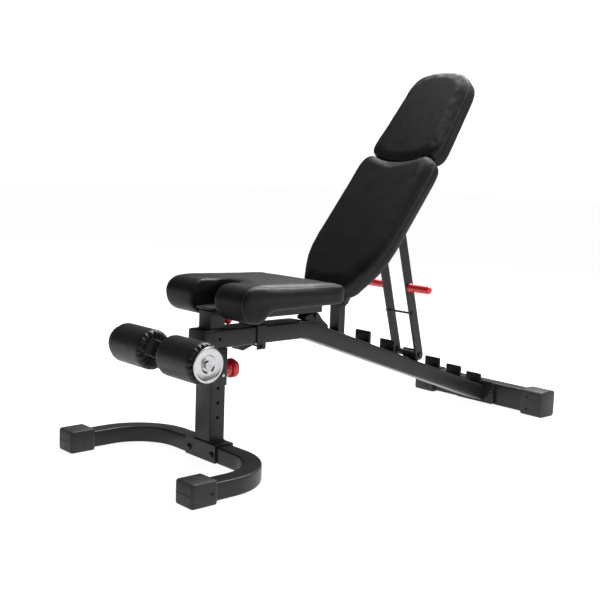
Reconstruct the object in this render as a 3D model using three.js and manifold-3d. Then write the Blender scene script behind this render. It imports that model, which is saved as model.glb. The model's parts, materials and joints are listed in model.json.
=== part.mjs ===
// Decline sit-up bench: a bent spine tube on a fixed rear foot and a telescoping
// front foot, a tilting seat, a reclining back with a head pad, a strut that drops
// into a six-step ladder, and a pair of foam foot rollers.
// Millimetres, +Z up. Lengths are measured from the front post's axis on the floor;
// the last group moves the origin to the middle of the footprint.
import * as THREE from "three";
import { mergeVertices } from "three/addons/utils/BufferGeometryUtils.js";
import Module from "manifold-3d";

const wasm = await Module();
wasm.setup();

// ---- driving dimensions ----
const GAP = 0.3; // between pieces that touch
const SPINE_WIDTH = 75;
const SPINE_HEIGHT = 50;
const SPINE_FRONT = -44;
const SPINE_TOP = 357.5;
const BEND_X = 315;
const BEND_RADIUS = 150;
const SPINE_END_Z = 40.9; // the spine's centre line at its rear end
const REAR_TUBE_X = 1163; // front face of the rear cross tube
const REAR_TUBE_DEEP = 50;
const REAR_TUBE_TALL = 75;
const REAR_TUBE_Z = 5.5;
const REAR_HALF = 273; // half width over the rear caps
const FLANGE_THICK = 10;
const FOOT_TUBE_WIDE = 50;
const FOOT_TUBE_TALL = 45;
const FOOT_TUBE_Z = 5;
const FOOT_LEG_Y = 276; // centre line of a leg
const FOOT_BEND = 145;
const FOOT_FRONT = -281.4; // front of the rubber caps
const FRONT_CAP_LONG = 76;
const FRONT_CAP_WIDE = 71;
const FRONT_CAP_TALL = 61;
const REAR_CAP_PAST = 14.8; // rubber behind the rear cross tube
const POST_X = 50.8;
const POST_Y = 68.2;
const POST_TOP = 332;
const HOLE_PITCH = 40;
const HOLE_FIRST = 120;
const HOLE_COUNT = 6;
const SLEEVE_BOTTOM = 206;
const SLEEVE_X = 56;
const PIN_Z = 241;
const ROLLER_X = -153.9;
const ROLLER_Z = 306.3;
const ROLLER_R = 53;
const ROLLER_IN = 33;
const ROLLER_OUT = 187.6;
const AXLE_R = 8;
const ARM_ANGLE = THREE.MathUtils.degToRad(-26);
const ARM_DEEP = 44;
const ARM_WIDE = 25;
const BLOCK_SIDE = 51.4;
const BLOCK_TOP = 400;
const SEAT_POST_SIDE = 45;
const SEAT_PIN_Z = 377;
const SEAT_HALF = 174;
const SEAT_FRONT = -34;
const SEAT_REAR = 341;
const SEAT_TOP = 483.6;
const NOTCH_HALF = 50;
const NOTCH_END = 74;
const SEAT_TUBE_Z = 376;
const SEAT_TUBE_TALL = 46;
const SEAT_TUBE_FRONT = 78;
const SEAT_TUBE_REAR = 380;
const SEAT_HINGE = { x: 362, z: 366 };
const BACK_HINGE = { x: 467.2, z: 402.8 };
const UPRIGHT_DEEP = 27; // the pivot upright, along X
const UPRIGHT_WIDE = 38;
const BACK_HINGE_UP = 63.3; // pivot's height along the back from the face line's start
const BACK_ANGLE = THREE.MathUtils.degToRad(51.93);
const BACK_PAD_THICK = 65;
const BACK_PAD_HALF = 149;
const BACK_PAD_LOW = 50;
const BACK_PAD_HIGH = 554;
const HEAD_ANGLE = THREE.MathUtils.degToRad(54);
const HEAD_START_UP = 548; // where the head pad begins, along the back
const HEAD_REAR_PAST = 9; // the head pad's rear behind the back pad's rear
const HEAD_PAD_THICK = 69;
const HEAD_PAD_HALF = 131;
const HEAD_PAD_LONG = 339;
const BOARD_PROUD = 1.5; // a board's rear face behind the back pad's rear
const BACK_TUBE = 40;
const STRUT_TOP = { x: 666.5, z: 651.8 };
const STRUT_STEP = 2; // steps behind the first stop where the strut stands
const FOOT_ROD_LIFT = 19.1; // foot rod's centre above the spine
const STRUT_WIDE = 32;
const STRUT_THICK = 8;
const STRUT_IN = 43; // inner face of a strut bar
const FOOT_ROD_R = 10;
const GRIP_R = 12;
const GRIP_OUT = 134;
const STOP_COUNT = 6;
const STOP_FIRST_X = 577;
const STOP_LAST_GAP = 14.7; // last stop's face to the rear flange
const STOP_TALL = 36;
const STOP_HALF = 30;

// ---- dependent sizes ----
const spineMid = SPINE_TOP - SPINE_HEIGHT / 2;
const spineHalf = SPINE_WIDTH / 2;
const spineBottom = SPINE_TOP - SPINE_HEIGHT;
const flangeBack = REAR_TUBE_X - GAP;
const flangeFront = flangeBack - FLANGE_THICK;
const SLOPE = Math.atan2(spineMid - SPINE_END_Z, flangeFront - BEND_X);
const slopeTall = SPINE_HEIGHT / Math.cos(SLOPE);
const stopPitch = (flangeFront - STOP_LAST_GAP - STOP_FIRST_X) / (STOP_COUNT - 1);
const strutFootX = STOP_FIRST_X + STRUT_STEP * stopPitch - FOOT_ROD_R - 0.6;
const STRUT_FOOT = { x: strutFootX, z: slopeTop(strutFootX) + FOOT_ROD_LIFT };
const rearTubeMidZ = REAR_TUBE_Z + REAR_TUBE_TALL / 2;
const rearCapBack = REAR_TUBE_X + REAR_TUBE_DEEP + REAR_CAP_PAST;
const footTop = FOOT_TUBE_Z + FOOT_TUBE_TALL;
const footHalf = FOOT_TUBE_WIDE / 2;
const saddleTop = footTop + GAP + 3.2;
const sleeveTop = spineBottom - GAP;
const sleeveHalfX = SLEEVE_X / 2;
const seatPostHalf = SEAT_POST_SIDE / 2 - 0.1;
const blockHalf = BLOCK_SIDE / 2;
const centreX = (FOOT_FRONT + rearCapBack) / 2;
const tubeFront = BACK_PAD_THICK + BOARD_PROUD + GAP; // behind the back pad's face
const tubeBack = tubeFront + BACK_TUBE;
const headSetBack = BACK_PAD_THICK + HEAD_REAR_PAST - HEAD_PAD_THICK;
const backCos = Math.cos(BACK_ANGLE);
const backSin = Math.sin(BACK_ANGLE);
const pivotBehind = tubeFront + BACK_TUBE / 2;
const BACK_START = {
  x: BACK_HINGE.x - BACK_HINGE_UP * backCos - pivotBehind * backSin,
  z: BACK_HINGE.z - BACK_HINGE_UP * backSin + pivotBehind * backCos,
};
const HEAD_START = {
  x: BACK_START.x + HEAD_START_UP * backCos,
  z: BACK_START.z + HEAD_START_UP * backSin,
};

// Height of the spine's top face over the sloping part.
function slopeTop(x) {
  return spineMid - (x - BEND_X) * Math.tan(SLOPE) + slopeTall / 2;
}

// ---- shape helpers ----
function roundedRect(w, h, r, cx = 0, cy = 0) {
  const s = new THREE.Shape();
  s.moveTo(cx - w / 2 + r, cy - h / 2);
  s.lineTo(cx + w / 2 - r, cy - h / 2);
  s.absarc(cx + w / 2 - r, cy - h / 2 + r, r, -Math.PI / 2, 0, false);
  s.lineTo(cx + w / 2, cy + h / 2 - r);
  s.absarc(cx + w / 2 - r, cy + h / 2 - r, r, 0, Math.PI / 2, false);
  s.lineTo(cx - w / 2 + r, cy + h / 2);
  s.absarc(cx - w / 2 + r, cy + h / 2 - r, r, Math.PI / 2, Math.PI, false);
  s.lineTo(cx - w / 2, cy - h / 2 + r);
  s.absarc(cx - w / 2 + r, cy - h / 2 + r, r, Math.PI, 1.5 * Math.PI, false);
  return s;
}

function polygon(points) {
  return new THREE.Shape(points.map(([x, y]) => new THREE.Vector2(x, y)));
}

// A slot-ended outline round two points: a link plate.
function linkShape(a, b, r) {
  const turn = Math.atan2(b[1] - a[1], b[0] - a[0]);
  const s = new THREE.Shape();
  s.absarc(a[0], a[1], r, turn + Math.PI / 2, turn + 1.5 * Math.PI, false);
  s.absarc(b[0], b[1], r, turn - Math.PI / 2, turn + Math.PI / 2, false);
  return s;
}

// ---- solid helpers: every piece is built as a manifold solid ----
function solid(geometry) {
  const bare = geometry.clone();
  bare.deleteAttribute("normal");
  bare.deleteAttribute("uv");
  const merged = mergeVertices(bare, 1e-4);
  const index = new Uint32Array(merged.index.array);
  const vertices = new Float32Array(merged.attributes.position.array);
  return new wasm.Manifold(new wasm.Mesh({ numProp: 3, vertProperties: vertices, triVerts: index }));
}

function geometryOf(manifold) {
  const mesh = manifold.getMesh();
  const g = new THREE.BufferGeometry();
  g.setAttribute("position", new THREE.BufferAttribute(new Float32Array(mesh.vertProperties), 3));
  g.setIndex(new THREE.BufferAttribute(new Uint32Array(mesh.triVerts), 1));
  const flat = g.toNonIndexed();
  flat.computeVertexNormals();
  return flat;
}

const X = new THREE.Vector3(1, 0, 0);
const Y = new THREE.Vector3(0, 1, 0);
const Z = new THREE.Vector3(0, 0, 1);

function prism(shape, depth, bevel, segments) {
  const soft = bevel > 0;
  return new THREE.ExtrudeGeometry(shape, {
    depth: depth - 2 * bevel,
    curveSegments: segments,
    bevelEnabled: soft,
    bevelThickness: bevel,
    bevelSize: bevel,
    bevelOffset: -bevel,
    bevelSegments: 2,
  }).translate(0, 0, bevel);
}

// Shape drawn in (Y, Z), run along X from x0 to x1.
function alongX(shape, x0, x1, bevel = 0, segments = 4) {
  const turn = new THREE.Matrix4().makeBasis(Y, Z, X);
  return solid(prism(shape, x1 - x0, bevel, segments).applyMatrix4(turn).translate(x0, 0, 0));
}

// Shape drawn in (X, Z), run along Y from y0 to y1.
function alongY(shape, y0, y1, bevel = 0, segments = 4) {
  const turn = new THREE.Matrix4().makeBasis(X, Z, Y.clone().negate());
  return solid(prism(shape, y1 - y0, bevel, segments).applyMatrix4(turn).translate(0, y1, 0));
}

// Shape drawn in (X, Y), run along Z from z0 to z1.
function alongZ(shape, z0, z1, bevel = 0, segments = 4) {
  return solid(prism(shape, z1 - z0, bevel, segments).translate(0, 0, z0));
}

function rodY(x, z, r, y0, y1, sides = 14) {
  const g = new THREE.CylinderGeometry(r, r, y1 - y0, sides);
  return solid(g.translate(x, (y0 + y1) / 2, z));
}

function rodX(y, z, r, x0, x1, sides = 14) {
  const g = new THREE.CylinderGeometry(r, r, x1 - x0, sides).rotateZ(-Math.PI / 2);
  return solid(g.translate((x0 + x1) / 2, y, z));
}

// A turned piece on the Y axis through (x, z); profile points are [radius, y].
function turnedY(profile, x, z, sides = 32) {
  const points = profile.map(([r, y]) => new THREE.Vector2(r, y));
  return solid(new THREE.LatheGeometry(points, sides).translate(x, 0, z));
}

// A turned piece on the X axis through (y, z); profile points are [radius, x].
function turnedX(profile, y, z, sides = 32) {
  const points = profile.map(([r, x]) => new THREE.Vector2(r, x));
  return solid(new THREE.LatheGeometry(points, sides).rotateZ(-Math.PI / 2).translate(0, y, z));
}

function box(x0, x1, y0, y1, z0, z1) {
  const g = new THREE.BoxGeometry(x1 - x0, y1 - y0, z1 - z0);
  return solid(g.translate((x0 + x1) / 2, (y0 + y1) / 2, (z0 + z1) / 2));
}

// A frame that rides on a sloping line: local X runs up the line, local Z faces forward.
function onLine(start, angle) {
  const turn = new THREE.Matrix4().makeRotationY(-angle);
  return turn.premultiply(new THREE.Matrix4().makeTranslation(start.x, 0, start.z));
}

function moved(manifold, matrix) {
  return manifold.transform(matrix.toArray());
}

function mirrored(manifold) {
  return manifold.mirror([0, 1, 0]);
}

// ---- materials and bookkeeping ----
const looks = {
  frame_paint: [0x2c2d30, 0.35, 0.45],
  dark_paint: [0x151617, 0.3, 0.5],
  zinc: [0xc9ccd0, 0.9, 0.25],
  black_steel: [0x232426, 0.6, 0.45],
  cap_rubber: [0x1b1b1c, 0, 0.8],
  foam: [0x222223, 0, 0.85],
  vinyl: [0x1e1f21, 0, 0.5],
  board: [0x2a2421, 0, 0.8],
  red_plastic: [0xc41622, 0, 0.4],
  black_plastic: [0x111112, 0, 0.6],
};

function look(name) {
  const [color, metalness, roughness] = looks[name];
  return new THREE.MeshStandardMaterial({ name, color, metalness, roughness });
}

const bench = new THREE.Group();
bench.name = "decline_sit_up_bench";
const bodies = {};
for (const name of ["frame", "foot", "post_pin", "seat_pin", "seat_post", "seat", "back", "strut",
  "roller_near_body", "roller_far_body"]) {
  bodies[name] = new THREE.Group();
  bodies[name].name = name;
  bench.add(bodies[name]);
}

function add(body, name, manifold, material) {
  const mesh = new THREE.Mesh(geometryOf(manifold), look(material));
  mesh.name = name;
  bodies[body].add(mesh);
}

function addPair(body, name, nearSolid, material) {
  add(body, `${name}_near`, nearSolid, material);
  add(body, `${name}_far`, mirrored(nearSolid), material);
}

// ---- the bent spine tube ----
class SpineLine extends THREE.CurvePath {
  constructor(margin) {
    super();
    const cut = BEND_RADIUS * Math.tan(SLOPE / 2);
    const start = new THREE.Vector3(SPINE_FRONT, 0, spineMid);
    const bend = new THREE.Vector3(BEND_X, 0, spineMid);
    const down = new THREE.Vector3(Math.cos(SLOPE), 0, -Math.sin(SLOPE));
    const end = bend.clone().addScaledVector(down, (flangeFront - BEND_X) / Math.cos(SLOPE) + margin);
    const arcIn = bend.clone().addScaledVector(X, -cut);
    const arcOut = bend.clone().addScaledVector(down, cut);
    this.add(new THREE.LineCurve3(start, arcIn));
    this.add(new THREE.QuadraticBezierCurve3(arcIn, bend, arcOut));
    this.add(new THREE.LineCurve3(arcOut, end));
  }

  // Few samples on the straights, more round the bend.
  getSpacedPoints() {
    const [first, bend, last] = this.curves;
    return [first.getPoint(0), ...bend.getPoints(6), last.getPoint(1)];
  }

  getPointAt(u) {
    const points = this.getSpacedPoints();
    return points[Math.round(u * (points.length - 1))];
  }

  getTangentAt(u) {
    const points = this.getSpacedPoints();
    const i = Math.round(u * (points.length - 1));
    const before = points[Math.max(i - 1, 0)];
    const after = points[Math.min(i + 1, points.length - 1)];
    const into = points[i].clone().sub(before).normalize();
    const out = after.clone().sub(points[i]).normalize();
    return into.add(out).normalize();
  }
}

// A rounded section swept along a path whose samples are its own corner points.
function sweptSection(path, shape, steps) {
  return solid(new THREE.ExtrudeGeometry(shape, {
    steps,
    curveSegments: 2,
    bevelEnabled: false,
    extrudePath: path,
  }));
}

{
  const section = roundedRect(SPINE_HEIGHT, SPINE_WIDTH, 6);
  let spine = sweptSection(new SpineLine(60), section, 8);
  spine = spine.subtract(box(flangeFront - GAP, flangeFront + 200, -80, 80, -120, 200));
  const postRoom = box(-POST_X / 2 - 0.5, POST_X / 2 + 0.5, -POST_Y / 2 - 0.5, POST_Y / 2 + 0.5,
    spineBottom - 5, POST_TOP + 2);
  const seatRoom = box(-seatPostHalf - 0.5, seatPostHalf + 0.5, -seatPostHalf - 0.5,
    seatPostHalf + 0.5, POST_TOP, SPINE_TOP + 5);
  const sideHole = rodY(-1, spineMid, 4.8, -spineHalf - 2, spineHalf + 2, 16);
  add("frame", "main_tube", spine.subtract(postRoom).subtract(seatRoom).subtract(sideHole),
    "frame_paint");
}

{
  const plug = alongX(roundedRect(SPINE_WIDTH - 1, SPINE_HEIGHT - 1, 6, 0, spineMid),
    SPINE_FRONT - 5.7, SPINE_FRONT - GAP, 2, 3);
  add("frame", "frame_end_cap", plug, "black_plastic");
}

// ---- post sleeve, foot roller arm and axle ----
{
  const outer = alongZ(roundedRect(SLEEVE_X, SPINE_WIDTH, 4), SLEEVE_BOTTOM, sleeveTop, 1.5, 3);
  const bore = alongZ(roundedRect(POST_X + 0.8, POST_Y + 0.8, 4.5), SLEEVE_BOTTOM - 5, sleeveTop + 5, 0, 3);
  const pinHole = rodX(0, PIN_Z, 4.6, 0, sleeveHalfX + 5, 16);
  add("frame", "post_sleeve", outer.subtract(bore).subtract(pinHole), "frame_paint");
}

{
  const armEnd = -45.9; // beyond the axle, along the arm
  const run = (-sleeveHalfX - ROLLER_X) / Math.cos(ARM_ANGLE) + 40;
  const bar = alongX(roundedRect(ARM_WIDE, ARM_DEEP, 3), armEnd, run, 0, 3);
  const turn = new THREE.Matrix4().makeRotationY(-ARM_ANGLE);
  turn.premultiply(new THREE.Matrix4().makeTranslation(ROLLER_X, 0, ROLLER_Z));
  const eye = rodY(ROLLER_X, ROLLER_Z, AXLE_R + GAP, -40, 40);
  const cut = box(-sleeveHalfX - GAP, 200, -40, 40, 0, 400);
  add("frame", "roller_arm", moved(bar, turn).subtract(cut).subtract(eye), "frame_paint");
}

{
  const half = ROLLER_OUT + 2;
  let axle = rodY(ROLLER_X, ROLLER_Z, AXLE_R, -half - 1, half + 1, 24);
  for (const side of [-1, 1]) {
    const collar = [side * (ARM_WIDE / 2 + GAP), side * (ROLLER_IN - 0.5)].sort((a, b) => a - b);
    const head = [side * (half + 0.9), side * (half + 6)].sort((a, b) => a - b);
    axle = axle.add(rodY(ROLLER_X, ROLLER_Z, 13, collar[0], collar[1], 24));
    axle = axle.add(rodY(ROLLER_X, ROLLER_Z, 11, head[0], head[1], 6));
  }
  add("frame", "roller_axle", axle, "zinc");
}

{
  const y0 = ROLLER_IN;
  const y1 = ROLLER_OUT;
  const profile = [[0, y0 + 4], [20, y0 + 1], [34, y0], [44, y0 + 3], [50, y0 + 9], [ROLLER_R, y0 + 18],
    [ROLLER_R, y1 - 18], [50, y1 - 9], [44, y1 - 3], [34, y1], [20, y1], [0, y1]];
  const bore = rodY(ROLLER_X, ROLLER_Z, AXLE_R + 0.6, y0 - 5, y1 + 5, 24);
  const far = turnedY(profile, ROLLER_X, ROLLER_Z, 28).subtract(bore);
  add("roller_near_body", "roller_near", mirrored(far), "foam");
  add("roller_far_body", "roller_far", far, "foam");
  const dish = [[0, y1 + GAP], [18, y1 + GAP], [40, y1 + 4], [45, y1 + 3.4], [45, y1 + 5.4],
    [39, y1 + 6.2], [17, y1 + 2.3], [0, y1 + 2.3]];
  const disc = turnedY(dish, ROLLER_X, ROLLER_Z, 32).subtract(bore);
  add("roller_near_body", "roller_disc_near", mirrored(disc), "zinc");
  add("roller_far_body", "roller_disc_far", disc, "zinc");
}

{
  const screw = rodY(13, 234, 4.5, -spineHalf - 2.2, -spineHalf - GAP, 16);
  add("frame", "sleeve_screw", screw, "zinc");
}

// ---- pull pins ----
// A lobed hand knob: a disc with rounded ears, in the (Y, Z) plane.
function lobedKnob(z, r, x0, x1, lobes) {
  let knob = rodX(0, z, r * 0.74, x0, x1, 24);
  for (let i = 0; i < lobes; i += 1) {
    const turn = (i * 2 * Math.PI) / lobes + Math.PI / 2;
    const y = Math.cos(turn) * r * 0.66;
    const up = Math.sin(turn) * r * 0.66;
    knob = knob.add(rodX(y, z + up, r * 0.34, x0 + 1, x1 - 1, 14));
  }
  return knob;
}

{
  const x0 = sleeveHalfX + GAP;
  const neckEnd = x0 + 12;
  const neck = turnedX([[0, x0], [17, x0], [17, x0 + 6], [13, x0 + 8], [13, neckEnd], [0, neckEnd]], 0, PIN_Z);
  const bore = rodX(0, PIN_Z, 4.6, x0 - 5, x0 + 50, 16);
  add("frame", "post_pin_body", neck.subtract(bore), "black_plastic");
  const skirt = neckEnd + GAP;
  const face = skirt + 18;
  const stem = rodX(0, PIN_Z, 4, POST_X / 2 + GAP, face + 3, 16);
  const coneLine = [[0, skirt], [14, skirt], [19, face - 2], [19, face + 3], [0, face + 3]];
  const cone = turnedX(coneLine, 0, PIN_Z, 24);
  const knob = lobedKnob(PIN_Z, 28.5, face, face + 24, 5);
  add("post_pin", "post_pin_knob", knob.add(stem).add(cone), "red_plastic");
}

{
  const stem = rodX(0, SEAT_PIN_Z, 3, blockHalf - 1.5, 50, 12);
  const knob = turnedX([[0, 44], [9, 44], [13, 48], [13, 58], [9, 61], [0, 61]], 0, SEAT_PIN_Z, 20);
  add("seat_pin", "seat_pin_knob", stem.add(knob), "red_plastic");
}

// ---- seat post and the sleeve it slides in ----
{
  const outer = alongZ(roundedRect(BLOCK_SIDE, BLOCK_SIDE, 4), SPINE_TOP + GAP, BLOCK_TOP, 0, 3);
  const bore = box(-seatPostHalf - GAP, seatPostHalf + GAP, -seatPostHalf - GAP, seatPostHalf + GAP,
    SPINE_TOP - 5, BLOCK_TOP + 5);
  const boss = rodX(0, SEAT_PIN_Z, 8, blockHalf - 1, blockHalf + 8, 20);
  const pinHole = rodX(0, SEAT_PIN_Z, 3.5, 0, blockHalf + 20, 12);
  add("frame", "seat_post_sleeve", outer.add(boss).subtract(bore).subtract(pinHole), "frame_paint");
}

const headPlate = 410.5; // underside of the seat's nose plate
{
  let post = alongZ(roundedRect(2 * seatPostHalf, 2 * seatPostHalf, 3), POST_TOP + 6, BLOCK_TOP + 4, 0, 2);
  const collar = alongZ(roundedRect(BLOCK_SIDE, BLOCK_SIDE, 4), BLOCK_TOP + GAP, BLOCK_TOP + 6, 0, 3);
  const crown = new THREE.Shape();
  crown.moveTo(-22, BLOCK_TOP + 5);
  crown.lineTo(22, BLOCK_TOP + 5);
  crown.quadraticCurveTo(0, 2 * (headPlate - GAP) - BLOCK_TOP - 5, -22, BLOCK_TOP + 5);
  post = post.add(collar).add(alongY(crown, -22, 22, 0, 8));
  for (let i = 0; i < 2; i += 1) {
    post = post.subtract(rodX(0, SEAT_PIN_Z - 20 * (i + 1) + 6, 3.5, 10, 40, 12));
  }
  add("seat_post", "seat_post", post, "frame_paint");
}

// ---- seat frame, board and pad ----
{
  const z1 = SEAT_TUBE_Z + SEAT_TUBE_TALL;
  let seat = alongX(roundedRect(50, SEAT_TUBE_TALL, 4, 0, SEAT_TUBE_Z + SEAT_TUBE_TALL / 2),
    SEAT_TUBE_FRONT, SEAT_TUBE_REAR, 0, 3);
  const nose = alongZ(roundedRect(SEAT_TUBE_FRONT + 10 + 31, 62, 6, (SEAT_TUBE_FRONT + 10 - 31) / 2, 0),
    headPlate, headPlate + 6, 0, 3);
  const lug = linkShape([SEAT_HINGE.x, SEAT_HINGE.z], [SEAT_HINGE.x, SEAT_TUBE_Z + 8], 10);
  const eye = rodY(SEAT_HINGE.x, SEAT_HINGE.z, 4.4, -60, 60, 16);
  seat = seat.add(nose).add(alongY(lug, -12, 12, 0, 8)).subtract(eye);
  add("seat", "seat_frame", seat, "frame_paint");

  const boardFront = NOTCH_END + 18;
  const boardRear = SEAT_REAR - 26;
  const boardMid = (boardFront + boardRear) / 2;
  const board = alongZ(roundedRect(boardRear - boardFront, 2 * SEAT_HALF - 50, 20, boardMid, 0),
    z1 + GAP, z1 + 12, 0, 4);
  add("seat", "seat_board", board, "board");

  const side = new THREE.Shape();
  side.moveTo(SEAT_REAR - 18, 422.6);
  side.quadraticCurveTo(SEAT_REAR, 424, SEAT_REAR, 446);
  side.quadraticCurveTo(SEAT_REAR, 470, SEAT_REAR - 32, 474.4);
  side.quadraticCurveTo(180, 478, 18, SEAT_TOP);
  side.bezierCurveTo(-14, SEAT_TOP + 1, SEAT_FRONT, 464, SEAT_FRONT, 440);
  side.bezierCurveTo(SEAT_FRONT, 408, -12, 389, 14, 387.6);
  side.bezierCurveTo(34, 388, 44, 396, 52, 406);
  side.quadraticCurveTo(60, 417.6, 76, 418.7);
  const lump = alongY(side, -SEAT_HALF, SEAT_HALF, 9, 5);
  const plan = new THREE.Shape();
  const corner = 52;
  plan.moveTo(SEAT_REAR + 2, -SEAT_HALF + corner);
  plan.quadraticCurveTo(SEAT_REAR + 2, -SEAT_HALF - 1, SEAT_REAR - corner, -SEAT_HALF - 1);
  plan.lineTo(SEAT_FRONT - 5, -SEAT_HALF - 1);
  plan.lineTo(SEAT_FRONT - 5, -NOTCH_HALF);
  plan.lineTo(NOTCH_END - 34, -NOTCH_HALF);
  plan.quadraticCurveTo(NOTCH_END, -NOTCH_HALF, NOTCH_END, 0);
  plan.quadraticCurveTo(NOTCH_END, NOTCH_HALF, NOTCH_END - 34, NOTCH_HALF);
  plan.lineTo(SEAT_FRONT - 5, NOTCH_HALF);
  plan.lineTo(SEAT_FRONT - 5, SEAT_HALF + 1);
  plan.lineTo(SEAT_REAR - corner, SEAT_HALF + 1);
  plan.quadraticCurveTo(SEAT_REAR + 2, SEAT_HALF + 1, SEAT_REAR + 2, SEAT_HALF - corner);
  const recess = box(boardFront - 1, boardRear + 1, -SEAT_HALF + 24, SEAT_HALF - 24, 400, z1 + 12 + GAP);
  const tubeRoom = box(0, SEAT_REAR + 20, -26, 26, 400, z1 + 0.5);
  const pad = lump.intersect(alongZ(plan, 370, 500, 0, 6)).subtract(recess).subtract(tubeRoom);
  add("seat", "seat_pad", pad, "vinyl");
}

// ---- seat hinge on the spine ----
{
  const x0 = 322;
  const ear = polygon([
    [x0, slopeTop(x0) + GAP],
    [412, slopeTop(412) + GAP],
    [412, slopeTop(412) + 9],
    [388, 354],
    [372, 374],
    [352, 374],
    [334, 370],
    [x0, 366],
  ]);
  const eye = rodY(SEAT_HINGE.x, SEAT_HINGE.z, 4.4, -60, 60, 16);
  addPair("frame", "seat_hinge_ear", alongY(ear, -18.5, -12.5).subtract(eye), "dark_paint");
  let bolt = rodY(SEAT_HINGE.x, SEAT_HINGE.z, 4, -20, 20, 16);
  bolt = bolt.add(rodY(SEAT_HINGE.x, SEAT_HINGE.z, 7.5, -25, -18.5 - GAP, 6));
  bolt = bolt.add(rodY(SEAT_HINGE.x, SEAT_HINGE.z, 7.5, 18.5 + GAP, 25, 6));
  add("frame", "seat_hinge_bolt", bolt, "black_steel");
}

// ---- strap over the spine and the hook plate below it ----
{
  const inner = spineHalf + GAP;
  const outer = inner + 4;
  const low = spineBottom - 16;
  const band = roundedRect(2 * outer, SPINE_TOP + GAP + 4 - low, 5, 0, (SPINE_TOP + GAP + 4 + low) / 2);
  const room = roundedRect(2 * inner, SPINE_TOP + GAP - low + 40, 3, 0, (SPINE_TOP + GAP + low - 40) / 2);
  const boltX = 140;
  const boltZ = spineBottom - 7.5;
  const eye = rodY(boltX, boltZ, 3.4, -60, 60, 14);
  add("frame", "seat_strap", alongX(band, 125, 155, 0, 4).subtract(alongX(room, 120, 160, 0, 4))
    .subtract(eye), "frame_paint");
  let bolt = rodY(boltX, boltZ, 3, -outer - 1, outer + 1, 14);
  bolt = bolt.add(rodY(boltX, boltZ, 6, -outer - 6, -outer - GAP, 6));
  bolt = bolt.add(rodY(boltX, boltZ, 6, outer + GAP, outer + 6, 6));
  add("frame", "strap_bolt", bolt, "black_steel");
  const hook = new THREE.Shape();
  hook.moveTo(81, spineBottom - GAP);
  hook.lineTo(83, spineBottom - 10);
  hook.quadraticCurveTo(85, spineBottom - 18, 95, spineBottom - 17);
  hook.lineTo(124, spineBottom - 7);
  hook.lineTo(134, spineBottom - GAP);
  add("frame", "hook_plate", alongY(hook, -20, 20, 0, 5), "dark_paint");
}

// ---- upright that carries the back's pivot, between the back frame's ears ----
const earIn = UPRIGHT_WIDE / 2 + GAP;
const earOut = earIn + 8;
{
  const r = UPRIGHT_DEEP / 2;
  const x0 = BACK_HINGE.x - r;
  const x1 = BACK_HINGE.x + r;
  const plate = new THREE.Shape();
  plate.moveTo(x0, slopeTop(x0) + GAP);
  plate.lineTo(x1, slopeTop(x1) + GAP);
  plate.lineTo(x1, BACK_HINGE.z);
  plate.absarc(BACK_HINGE.x, BACK_HINGE.z, r, 0, Math.PI, false);
  const eye = rodY(BACK_HINGE.x, BACK_HINGE.z, 6.4, -60, 60, 20);
  const upright = alongY(plate, -UPRIGHT_WIDE / 2, UPRIGHT_WIDE / 2, 0, 8);
  add("frame", "pivot_upright", upright.subtract(eye), "frame_paint");
  let bolt = rodY(BACK_HINGE.x, BACK_HINGE.z, 6, -earOut - 1, earOut + 1, 20);
  bolt = bolt.add(rodY(BACK_HINGE.x, BACK_HINGE.z, 10.5, -earOut - 8, -earOut - GAP, 6));
  bolt = bolt.add(rodY(BACK_HINGE.x, BACK_HINGE.z, 10.5, earOut + GAP, earOut + 8, 6));
  add("frame", "back_pivot_bolt", bolt, "black_steel");
}

// ---- ladder of strut stops ----
for (let i = 0; i < STOP_COUNT; i += 1) {
  const x = STOP_FIRST_X + i * stopPitch;
  const thick = 8;
  const web = 12;
  const stop = polygon([
    [x, slopeTop(x) + GAP],
    [x + thick, slopeTop(x + thick) + GAP],
    [x + thick, slopeTop(x) + STOP_TALL - 4],
    [x + thick - 3, slopeTop(x) + STOP_TALL],
    [x + 1.5, slopeTop(x) + STOP_TALL],
    [x, slopeTop(x) + STOP_TALL - 2],
  ]);
  const gusset = polygon([
    [x + thick - 1, slopeTop(x + thick - 1) + GAP],
    [x + thick + web, slopeTop(x + thick + web) + GAP],
    [x + thick - 1, slopeTop(x) + 18],
  ]);
  let plate = alongY(stop, -STOP_HALF, STOP_HALF);
  if (x + thick + web < flangeFront) plate = plate.add(alongY(gusset, -6, 6));
  add("frame", `ladder_stop_${i + 1}`, plate, "dark_paint");
}

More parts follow.
